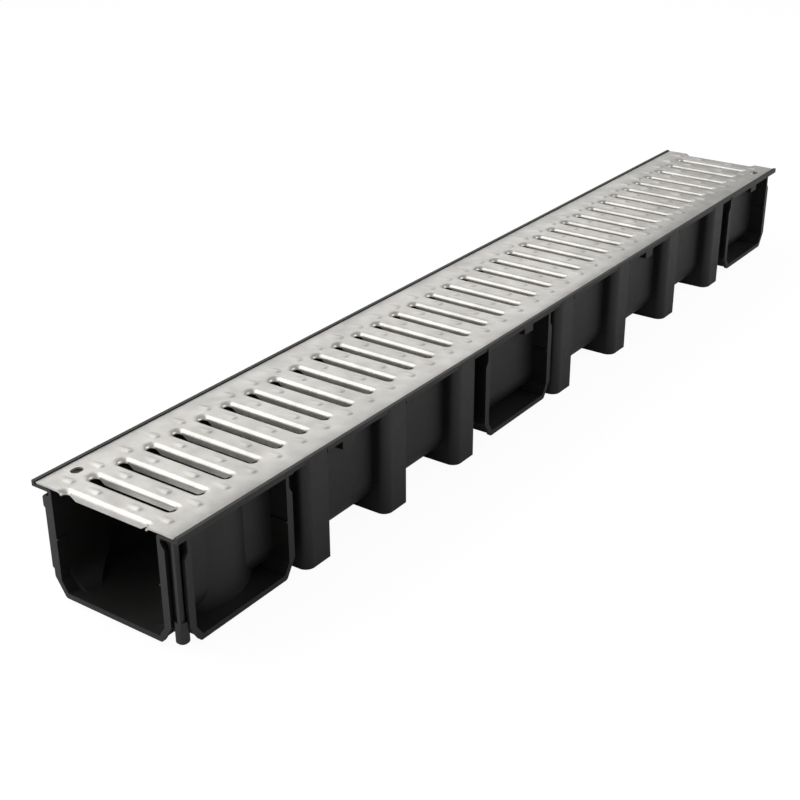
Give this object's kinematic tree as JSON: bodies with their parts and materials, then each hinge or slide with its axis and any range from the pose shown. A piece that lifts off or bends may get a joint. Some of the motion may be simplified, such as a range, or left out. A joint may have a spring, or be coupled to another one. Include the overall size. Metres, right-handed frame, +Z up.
{
  "type": "channel drain",
  "caption": "Moulded plastic drainage channel with side pillars and framed side sockets, under a pressed steel grating with lipped cross slots.",
  "frame": {"origin": "on the base plane, under the middle of the channel", "axes": "+X along the channel towards its far end, +Y across it, +Z up"},
  "size_m": [1, 0.138, 0.093],
  "materials": {
    "black_plastic": "moulded, fine satin",
    "galvanised_steel": "galvanised, satin"
  },
  "bodies": {
    "root": {"channel_body": "black_plastic", "grating": "galvanised_steel"}
  },
  "joints": []
}
